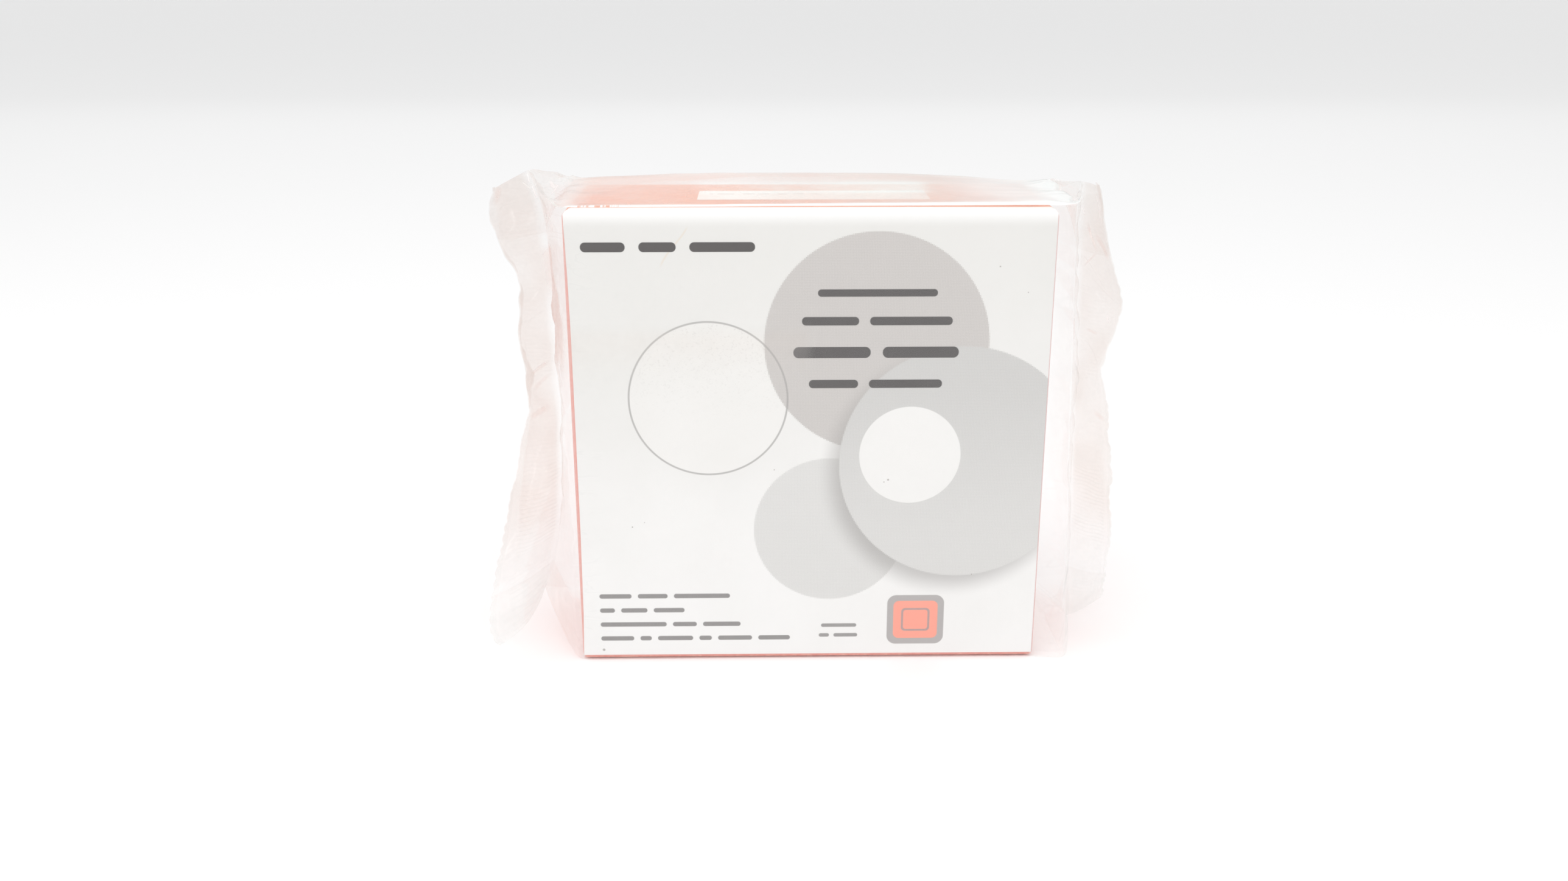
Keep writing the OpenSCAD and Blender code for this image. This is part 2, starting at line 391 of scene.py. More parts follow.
def film_mesh():
    seg_c, v_c = SEG[::STEP], V[::STEP]
    n_c, n_f = len(seg_c), len(SEG)
    ws = np.array([0, 0.04, 0.09, 0.16, 0.24, 0.33, 0.43, 0.53, 0.63, 0.73, 0.82, 0.9, 0.96])
    body_t = np.concatenate([[0.0, 0.006, 0.014, 0.026, 0.042], np.linspace(0.06, 0.94, 46),
                             [0.958, 0.974, 0.986, 0.994, 1.0]])
    us = {s: np.concatenate([[0, 0.35, 0.8, 1.4], np.linspace(2.0, ENDS[s]["width"] - 1.0, 12),
                             ENDS[s]["width"] - np.array([0.5, 0.22, 0.0])]) for s in (-1, 1)}
    y0, z0 = rect_ring(seg_c, v_c)
    xl, xr = curve(z0, ENDS[-1]["edge"]), curve(z0, ENDS[1]["edge"])

    fins = {s: [fin_points(s, SEG, V, u) for u in us[s]] for s in (-1, 1)}
    grid = [tube_point(-1, seg_c, v_c, w) for w in ws[::-1][:-1]]
    tags = [("end", w) for w in ws[::-1][:-1]]
    for t in body_t:
        x = xl + (xr - xl) * t
        grid.append(np.stack([x, y0, lift(x, y0, z0)], 1))
        tags.append(("body", t))
    grid += [tube_point(1, seg_c, v_c, w) for w in ws[1:]]
    tags += [("end", w) for w in ws[1:]]
    grid = np.stack([fins[-1][0][0][::STEP]] + grid + [fins[1][0][0][::STEP]])
    grid = wrinkle(grid, seg_c, v_c, [("end", 1.0)] + tags + [("end", 1.0)])
    look = grid_look(grid, seg_c, v_c, [("end", 1.0)] + tags + [("end", 1.0)])

    cols = [(*f, True) for f in fins[-1][::-1]]
    cols += [(grid[k], {name: look[name][k] for name in look}, False) for k in range(1, len(grid) - 1)]
    cols += [(*f, True) for f in fins[1]]
    starts = np.cumsum([0] + [len(c[0]) for c in cols])
    faces = []
    for i in range(len(cols) - 1):
        a, b = int(starts[i]), int(starts[i + 1])
        fa, fb = cols[i][-1], cols[i + 1][-1]
        if fa == fb:
            n = n_f if fa else n_c
            j = np.arange(n)
            jn = (j + 1) % n
            faces += np.stack([a + j, b + j, b + jn, a + jn], 1).tolist()
        else:
            fine, coarse = (a, b) if fa else (b, a)
            for j in range(n_c):
                jn = (j + 1) % n_c
                f = [fine + (STEP * j + q) % n_f for q in range(STEP + 1)]
                mid = coarse + j, coarse + jn
                half = STEP // 2
                tri = [(mid[0], f[q], f[q + 1]) for q in range(half)] + [(mid[0], f[half], mid[1])]
                tri += [(mid[1], f[q], f[q + 1]) for q in range(half, STEP)]
                faces += [list(t[::-1]) if fa else list(t) for t in tri]
    looks = {name: np.concatenate([c[1][name] for c in cols]) for name in look}
    kept = [k for k, t in enumerate([("end", 1.0)] + tags + [("end", 1.0)]) if t[0] == "body" or t[1] < 0.3]
    return np.concatenate([c[0] for c in cols]), faces, looks, seam_mesh(grid[kept], seg_c)


def seam_mesh(grid, seg):
    """The film's lap seam: a crimped strip folded flat against the back, its saw-cut edge downwards."""
    back = seg == 4
    rows = [r[back][::-1] for r in grid]
    zs = np.concatenate([[33.9], np.linspace(34.1, 44.6, 22), [44.9]])
    n5 = lattice(77)
    base = np.stack([np.stack([np.interp(zs, r[:, 2], r[:, 0]), np.interp(zs, r[:, 2], r[:, 1])], 1) for r in rows])
    run = np.arange(len(rows))
    s = np.interp(np.linspace(0, 1, 301), (base[:, 10, 0] - base[0, 10, 0]) / (base[-1, 10, 0] - base[0, 10, 0]), run)
    x = np.stack([np.interp(s, run, base[:, k, 0]) for k in range(len(zs))], 1)
    y = np.stack([np.interp(s, run, base[:, k, 1]) for k in range(len(zs))], 1)
    z = np.broadcast_to(zs, x.shape).copy()
    low = 1 - step01(33.9, 35.2, z)
    z = z - low * (0.30 * np.abs(np.sin(np.pi * x / 2.1)) + 0.25 * n5(x / 9, x * 0))
    wave = np.sin(2 * np.pi * x / 1.25)
    crimped = step01(34.6, 35.4, z) * (1 - step01(43.6, 44.4, z))
    off = 0.20 + 0.05 * crimped * wave * np.clip(0.6 + 0.8 * n5(x / 6, z / 5), 0, 1.2)
    off = off + 0.22 * low * (0.5 + 0.9 * n5(x / 4.0 + 3, x * 0))
    nz, nx = len(zs), len(s)
    outer = np.stack([x, y + np.maximum(off, 0.12), z], 2)
    inner = np.stack([x, y + np.maximum(off, 0.12) - 0.06, z], 2)
    verts = np.concatenate([outer.reshape(-1, 3), inner.reshape(-1, 3)])
    m = nx * nz
    i, j = np.meshgrid(np.arange(nx - 1), np.arange(nz - 1), indexing="ij")
    a = (i * nz + j).ravel()
    faces = np.stack([a, a + 1, a + nz + 1, a + nz], 1).tolist()
    faces += np.stack([m + a, m + a + nz, m + a + nz + 1, m + a + 1], 1).tolist()
    rim = [k for k in range(nz)] + [k * nz + nz - 1 for k in range(1, nx)]
    rim += [(nx - 1) * nz + k for k in range(nz - 2, -1, -1)] + [k * nz for k in range(nx - 2, 0, -1)]
    for p, q in zip(rim, rim[1:] + rim[:1]):
        faces.append([q, p, m + p, m + q])
    # hazier along the crimp ridge crests, a painted highlight, and at both edges
    veil = 0.05 + 0.10 * crimped * np.maximum(wave, 0) ** 2 + 0.12 * (1 - step01(33.9, 34.3, z)) + 0.10 * step01(44.4, 44.8, z)
    flat = lambda f: np.tile(np.broadcast_to(f, x.shape).ravel(), 2)
    looks = {"veil": flat(veil), "shine": flat(0.7), "blush": flat(0.1), "shade": flat(0.3), "fold": flat(0.0),
             "across": flat(140 + z), "along": flat(x), "crease": flat(0.10), "dim": flat(0.1)}
    return verts, faces, looks


def grid_look(p, seg, v, tags):
    """How the tube's film looks: a trace of haze all over, more on the slack top, partly painted reflection there, and
    painted highlights along folds.
    """
    run = np.zeros_like(p)
    run[1:-1] = p[2:] - 2 * p[1:-1] + p[:-2]
    gap = np.zeros(p.shape[:2])
    gap[1:-1] = np.linalg.norm(p[2:] - p[:-2], axis=2) / 2
    bend = np.linalg.norm(run, axis=2) / np.maximum(gap, 0.3) ** 2
    x, y, z = p[..., 0], p[..., 1], p[..., 2]
    w = np.array([t[1] if t[0] == "end" else 0.0 for t in tags])[:, None]
    top = ((seg == 2) | (seg == 3))[None, :]
    n1, n2 = lattice(41), lattice(42)
    patch = 0.9 * n1(x / 9, y / 4) + 0.35 * n2(x / 2.5, y / 2)
    # the box shows through best in front of this line on the top sheet; behind it, and towards both ends, most to the
    # right, the top sheet is whiter: partly the slack film's haze, partly painted reflection of the lamp behind
    line = curve(x, [(-41, -19), (-38, -14.5), (-36.3, -6), (-35, -1.5), (-32, 2.6), (-28, 4.8), (-21, 7.0), (-13, 9.2),
                     (-3, 9.8), (13, 8.8), (19, 6.5), (24.5, 2.6), (28.5, 0.2), (31.5, -6.5), (35, -15), (40, -24)])
    soft = curve(x, [(-40, 0.5), (-10, 0.9), (10, 4.0), (20, 6.0), (40, 6.0)])
    lid = curve(x, [(-42, 0.60), (-36, 0.52), (-30, 0.46), (-24, 0.42), (-19, 0.28), (-12, 0.26), (-6, 0.44), (0, 0.50),
                    (10, 0.60), (20, 0.70), (28, 0.84), (34, 0.94), (40, 0.97)])
    lid = lid + (0.10 + 0.08 * (1 - step01(-14, -4, x))) * step01(-12, 6, y + 2 * patch) - 0.08 * (1 - step01(-15, -9, y))
    beyond = 0.80 + 0.12 * step01(-5, 20, x) + 0.12 * (1 - step01(-40, -34, x))
    lid = lid + (beyond - lid) * step01(-1, 1, (y - line + patch) / soft)
    haze_and_painted_sheen = 0.014 + 0.04 * w ** 2 + np.where(top, lid * (1 - 0.75 * step01(0, 0.35, w)) * (1 - 0.7 * w), 0)
    # painted highlight: a white line along the top's front edge, and plainer white lines along the other folds and
    # bends
    at_front = np.where(seg == 1, (1 - v) * 80.5, np.where(seg == 2, v * 15.3, 99))[None, :]
    at_back = np.where(seg == 4, v * 80.5, np.where(seg == 3, (1 - v) * 15.3, 99))[None, :]
    at_foot = np.where(seg == 1, v * 80.5, np.where(seg == 0, (1 - v) * 15.3, 99))[None, :]
    low = 0.16 + 0.12 * step01(-30, 30, x)
    fold = np.where(seg[None, :] == 1, 1 - step01(low, low + 0.14, at_front), 1 - step01(0.5, 1.2, at_front))
    fold = fold * step01(-41, -38.5, x) * (1 - 0.5 * step01(40.5, 42, x)) * (1 - step01(42.5, 45, x))
    haze_and_painted_sheen = haze_and_painted_sheen + 0.12 * np.exp(-(at_back / 0.4) ** 2) + 0.10 * np.exp(-(at_foot / 0.3) ** 2)
    haze_and_painted_sheen = haze_and_painted_sheen + 0.16 * step01(0.3, 1.6, bend) * (1 - np.exp(-(at_front / 0.6) ** 2))
    # painted reflection of the coral box's sides on the end panels, most in a wedge under the left corner and in the
    # tucks
    left = x < 0
    edge = w - np.clip((z - 58.5) / 14.5, 0, 1) ** 2
    wedge = np.where(left, step01(-0.04, 0.06, edge) * step01(44, 58, z) ** 2 * (1 - step01(70.5, 72.5, z)), 0)
    wedge = wedge * (seg == 1) + 0.3 * wedge * (seg == 4)
    tuck = np.where(z < 12, step01(0.05, 0.35, w) * (1 - 0.6 * step01(0.7, 1.0, w)), 0) * np.where(left, 1.0, 0.15)
    painted_side_reflection = np.clip(np.where(left, 0.35, 0.05) * w + 1.2 * wedge + 0.7 * tuck * (0.6 + 0.5 * patch), 0, 1.3) * ~top
    haze_and_painted_sheen = haze_and_painted_sheen + 0.48 * wedge + np.where(~top & (w > 0), np.where(left, 0.05, 0.07) * step01(0, 0.1, w) * step01(12, 26, z), 0)
    haze_and_painted_sheen = np.where(~top & (w > 0), haze_and_painted_sheen * (0.25 + 0.75 * step01(8, 20, z)), haze_and_painted_sheen)
    haze_and_painted_sheen = haze_and_painted_sheen + np.where(left & (seg == 1), 0.15 * step01(0.0, 0.15, w) * (1 - step01(10, 14, z)), 0)
    tuck = 0.35 * tuck
    # painted reflection of the coral lid on the top sheet's left half, and of the sides elsewhere
    blush = np.where(top, (0.10 + 0.25 * step01(-0.2, 0.5, patch)) * (1 - step01(0, 20, x)) * (1 - step01(0, 0.2, w)), painted_side_reflection)
    corner = step01(66, 76, z) * left
    lit = 0.4 * (1 - step01(-16, -4, x)) + 0.45 * step01(20, 34, x)
    shade = np.where(top, (1.0 - 0.8 * step01(0, 0.25, w)) * (1 - lit), np.where(w > 0, 0.7 * step01(10, 24, z) - 0.4 * corner, 0.3)) * (1 - fold)
    ends = w > 0
    near = step01(30, 41, np.abs(x - 2))
    crease = np.where(ends, 0.07 + 0.35 * corner, np.where(top, 0.15 + 0.2 * near, 0.10 * near ** 3))
    across = np.broadcast_to(RING[::STEP], x.shape)
    shine = np.broadcast_to(np.where(ends, 0.55, 1.0), x.shape)
    dim = np.where(ends & ~top, np.where(left, 0.5, 0.45) * step01(0, 0.7, w) * step01(14, 30, z), 0)
    dim = dim + np.where(ends & ~top & left, 0.14 * step01(0, 0.7, w) * (1 - step01(14, 24, z)), 0)
    dim = dim - np.where(((seg == 1) | (seg == 4)) & ends & ~left, 0.45 * (1 - step01(10, 34, z)) * (1 - 0.6 * w), 0)
    return {"veil": np.clip(haze_and_painted_sheen, 0, 1.0), "shine": shine, "blush": blush, "shade": shade, "fold": fold,
            "across": across, "along": np.minimum(x, 45.9), "crease": crease, "dim": dim}


def wrinkle(full, seg, v, tags):
    """Rounds the folds along the film, then lays wrinkles and creases on it, clear of the carton."""
    p = full.copy()
    turn = np.array([t[0] == "end" and t[1] < 0.7 or t[0] == "body" and (t[1] < 0.03 or t[1] > 0.97) for t in tags])
    turn[0] = turn[-1] = False
    for _ in range(3):
        q = p.copy()
        q[1:-1] = 0.5 * p[1:-1] + 0.25 * (p[:-2] + p[2:])
        p[turn] = q[turn]
    ds = np.gradient(p, axis=0)
    dt = (np.roll(p, -1, 1) - np.roll(p, 1, 1)) / 2
    n = np.cross(ds, dt)
    n /= np.maximum(np.linalg.norm(n, axis=2, keepdims=True), 1e-9)
    out = p - np.array([2.0, 0, 40.0])
    out[..., 0] *= 0.2
    n *= np.sign((n * out).sum(2).mean())
    x, y, z = p[..., 0], p[..., 1], p[..., 2]
    segs = np.broadcast_to(seg, x.shape)
    s_len = np.cumsum(np.linalg.norm(np.diff(p, axis=0, prepend=p[:1]), axis=2), axis=0)
    n1, n2, n3, n4, n5 = (lattice(k) for k in (3, 4, 5, 6, 7))
    ridge = lambda f, a, b: 1 - 2 * np.abs(f(a, b)) ** 0.8
    d = np.zeros_like(x)
    fade = np.clip(np.minimum(np.arange(len(p)), np.arange(len(p))[::-1])[:, None] / 3.0, 0, 1)
    front, back = segs == 1, segs == 4
    top, bottom = (segs == 2) | (segs == 3), (segs == 0) | (segs == 5)
    beyond = np.maximum(-40.2 - x, x - 40.2)
    loose = step01(-2.0, 2.5, beyond)
    # tight faces: long faint waves
    d += np.where(front | back, 0.07 * n1(x / 16 + 5, z / 9) + 0.03 * n2(x / 5, z / 12), 0)
    slack = 0.35 + 0.65 * step01(24, 40, np.abs(x - 1))
    d += np.where(top, slack * (0.20 * n1(x / 14, y / 6 + 3) + 0.08 * n2(x / 4.0, y / 8) + 0.05 * ridge(n5, x / 9, y / 4)), 0)
    # end panels and the free stretch: gathers that run towards the fin
    across = np.where(front | back, z, np.where(top, 90 + y, -10 - y))
    crowd = 1 + 0.9 * step01(68, 80, z) + 0.7 * (1 - step01(4, 22, z))
    d += loose * crowd * (0.26 * n2(across / 2.6 + 7, s_len / 16) + 0.15 * n3(across / 1.25, s_len / 12)
                          + 0.34 * n4(across / 7.5, s_len / 20) + 0.16 * ridge(n5, across / 3.4, s_len / 14))
    for (xa, za, xb, zb, amp, wid) in CREASES:
        ax, az = xb - xa, zb - za
        ll = math.hypot(ax, az)
        t = ((x - xa) * ax + (z - za) * az) / ll**2
        off = ((x - xa) * az - (z - za) * ax) / ll
        bell = np.exp(-(off / wid) ** 2) * step01(-0.02, 0.3, t) * (1 - step01(0.7, 1.02, t))
        d += np.where(front, amp * bell, 0)
    d *= fade
    d = np.where(bottom, d * 0.2, d)
    p = p + n * d[..., None]
    # clear of what it wraps, and on the floor
    x, y, z = p[..., 0], p[..., 1], p[..., 2]
    inx = np.abs(x) < 40.3
    p[..., 1] = np.where(front & inx, np.minimum(y, -15.14 - HOLD), p[..., 1])
    p[..., 1] = np.where(back & inx, np.maximum(y, 15.0 + HOLD), p[..., 1])
    p[..., 2] = np.where(top & inx & (np.abs(y) < 14.6), np.maximum(z, 79.72 + HOLD), p[..., 2])
    p[..., 2] = np.maximum(p[..., 2], 0.02)
    low = (p[..., 2] < 79.8) & (np.abs(p[..., 1]) < 15.1) & ~bottom
    p[..., 0] = np.where(low & (x < -30) & ~inx, np.minimum(x, -40.2), p[..., 0])
    p[..., 0] = np.where(low & (x > 30) & ~inx, np.maximum(x, 40.2), p[..., 0])
    return p


CREASES = [
    (24.0, 38.5, 40.5, 44.8, 0.22, 0.35),
    (26.5, 38.2, 40.0, 42.6, -0.12, 0.45),
    (31.0, 46.0, 34.0, 61.0, 0.10, 0.5),
    (-2.0, 29.0, 4.5, 22.5, 0.07, 0.35),
    (-36.5, 60.0, -30.0, 40.0, 0.08, 0.8),
    (-24.0, 14.0, -21.0, 34.0, 0.07, 0.7),
    (-38.0, 79.0, -27.0, 66.0, 0.10, 0.6),
    (40.0, 78.0, 30.0, 66.0, 0.09, 0.6),
    (-38.5, 3.0, -30.0, 12.0, 0.09, 0.5),
]


def untwist(verts, faces):
    """Cuts each badly twisted four-sided face into its two best triangles, and lists which faces stay smooth."""
    quads = np.array([f for f in faces if len(f) == 4])
    a, b, c, d = (verts[quads[:, k]] for k in range(4))

    def agree(m, n):
        return (m * n).sum(1) / np.maximum(np.linalg.norm(m, axis=1) * np.linalg.norm(n, axis=1), 1e-12)

    one = agree(np.cross(b - a, c - a), np.cross(c - a, d - a))
    two = agree(np.cross(b - a, d - a), np.cross(c - b, d - b))
    out = [f for f in faces if len(f) == 3]
    smooth = [True] * len(out)
    for q, m, n in zip(quads.tolist(), one, two):
        if m > 0.6:
            out.append(q)
            smooth.append(True)
        else:
            i, j, k, l = q
            out += [[i, j, k], [i, k, l]] if m > n else [[i, j, l], [j, k, l]]
            smooth += [False, False]
    return out, smooth


def mesh_object(name, verts, faces, looks):
    """A smooth-shaded mesh from millimetres, with a number at each point for each of looks."""
    faces, smooth = untwist(np.asarray(verts), faces)
    mesh = bpy.data.meshes.new(name)
    mesh.from_pydata((np.asarray(verts) * MM).tolist(), [], faces)
    mesh.update()
    mesh.polygons.foreach_set("use_smooth", np.array(smooth, bool))
    mesh.set_sharp_from_angle(angle=math.radians(48))
    for key, values in looks.items():
        mesh.attributes.new(key, "FLOAT", "POINT").data.foreach_set("value", np.asarray(values, np.float32))
    obj = bpy.data.objects.new(name, mesh)
    bpy.context.scene.collection.objects.link(obj)
    return obj


# ------------------------------------------------------------------ materials


class Nodes:
    """Short-hand for building shader maths."""

    def __init__(self, mat):
        self.t = mat.node_tree
        self.t.nodes.clear()

    def new(self, kind, **props):
        n = self.t.nodes.new(kind)
        for k, val in props.items():
            setattr(n, k, val)
        return n

    def link(self, a, b):
        self.t.links.new(a, b)

    def put(self, value, socket):
        if isinstance(value, bpy.types.NodeSocket):
            self.t.links.new(value, socket)
        else:
            socket.default_value = value

    def m(self, op, *args, clamp=False):
        n = self.new("ShaderNodeMath", operation=op, use_clamp=clamp)
        for i, a in enumerate(args):
            self.put(a, n.inputs[i])
        return n.outputs[0]

    def add(self, a, b): return self.m("ADD", a, b)
    def sub(self, a, b): return self.m("SUBTRACT", a, b)
    def mul(self, a, b): return self.m("MULTIPLY", a, b)
    def mx(self, a, b): return self.m("MAXIMUM", a, b)
    def mn(self, a, b): return self.m("MINIMUM", a, b)

    def ramp(self, x, a, b, lo=0.0, hi=1.0):
        n = self.new("ShaderNodeMapRange", interpolation_type="SMOOTHSTEP", clamp=True)
        self.put(x, n.inputs["Value"])
        n.inputs["From Min"].default_value, n.inputs["From Max"].default_value = a, b
        n.inputs["To Min"].default_value, n.inputs["To Max"].default_value = lo, hi
        return n.outputs["Result"]

    def mix(self, f, a, b):
        n = self.new("ShaderNodeMix", data_type="RGBA")
        self.put(f, n.inputs["Factor"])
        self.put(a, n.inputs[6])
        self.put(b, n.inputs[7])
        return n.outputs[2]

    def noise(self, vec, scale, detail=2.0, rough=0.5):
        n = self.new("ShaderNodeTexNoise")
        self.link(vec, n.inputs["Vector"])
        n.inputs["Scale"].default_value = scale
        n.inputs["Detail"].default_value = detail
        n.inputs["Roughness"].default_value = rough
        return n.outputs["Fac"]

    def place(self, scale=(1, 1, 1)):
        """Object coordinates in millimetres, times scale."""
        c = self.new("ShaderNodeTexCoord")
        v = self.new("ShaderNodeVectorMath", operation="MULTIPLY")
        self.link(c.outputs["Object"], v.inputs[0])
        v.inputs[1].default_value = [1000 * s for s in scale]
        return v.outputs[0]

    def bump(self, height, distance, strength=1.0):
        n = self.new("ShaderNodeBump")
        n.inputs["Distance"].default_value = distance
        n.inputs["Strength"].default_value = strength
        self.link(height, n.inputs["Height"])
        return n.outputs["Normal"]


def material(name):
    mat = bpy.data.materials.new(name)
    mat.use_nodes = True
    return mat, Nodes(mat)


def finish_surface(g, shader):
    out = g.new("ShaderNodeOutputMaterial")
    g.link(shader, out.inputs["Surface"])


def srgb(r, g, b):
    f = lambda c: c / 12.92 if c <= 0.04045 else ((c + 0.055) / 1.055) ** 2.4
    return (f(r / 255), f(g / 255), f(b / 255), 1.0)


def carton_material():
    mat, g = material("coral_box_paper")
    p = g.place()
    xyz = g.new("ShaderNodeSeparateXYZ")
    g.link(p, xyz.inputs[0])
    mottle = g.noise(p, 0.35, 4, 0.6)
    fibre = g.noise(g.place((1, 1, 0.25)), 6.0, 3, 0.6)
    side = g.mix(g.ramp(mottle, 0.35, 0.7), srgb(225, 141, 130), srgb(229, 147, 136))
    lid = g.mix(g.ramp(mottle, 0.35, 0.7), srgb(230, 146, 106), srgb(238, 162, 122))
    base = g.mix(g.ramp(xyz.outputs[2], 78.9, 79.5), side, lid)
    for side, lo, hi in ((-1, (234, 180, 171), (237, 186, 177)), (1, (238, 195, 187), (241, 200, 192))):
        end = g.ramp(g.mul(xyz.outputs[0], side), 39.9, 39.99)
        base = g.mix(end, base, g.mix(g.ramp(mottle, 0.35, 0.7), srgb(*lo), srgb(*hi)))
    base = g.mix(g.ramp(fibre, 0.45, 0.8, 0, 0.25), base, srgb(247, 184, 164))
    # paler edges: partly wear, partly painted highlight where the rounded edges catch the lamps
    ex = g.ramp(g.m("ABSOLUTE", xyz.outputs[0]), 39.1, 39.9)
    ey = g.ramp(g.m("ABSOLUTE", xyz.outputs[1]), 14.2, 14.95)
    ez = g.ramp(g.m("ABSOLUTE", g.sub(xyz.outputs[2], 39.85)), 38.9, 39.7)
    two = g.mx(g.mul(ey, ez), g.mul(ex, ez))
    worn = g.noise(p, 1.3, 3)
    edge_wear_and_sheen = g.mul(two, g.ramp(worn, 0.4, 0.7, 0.1, 0.8))
    base = g.mix(edge_wear_and_sheen, base, srgb(247, 206, 190))
    # painted highlight down the front vertical edges, with some wear; paler on the right than on the left
    up = g.mul(g.mul(ex, ey), g.ramp(worn, 0.35, 0.65, 0.55, 0.9))
    front_edge_wear_and_sheen_colour = g.mix(g.ramp(xyz.outputs[0], -1.0, 1.0), srgb(230, 188, 181), srgb(243, 222, 217))
    base = g.mix(up, base, front_edge_wear_and_sheen_colour)
    b = g.new("ShaderNodeBsdfPrincipled")
    g.link(base, b.inputs["Base Color"])
    g.link(g.ramp(mottle, 0.3, 0.8, 0.42, 0.55), b.inputs["Roughness"])
    g.link(g.bump(fibre, 0.00004, 0.5), b.inputs["Normal"])
    finish_surface(g, b.outputs[0])
    return mat


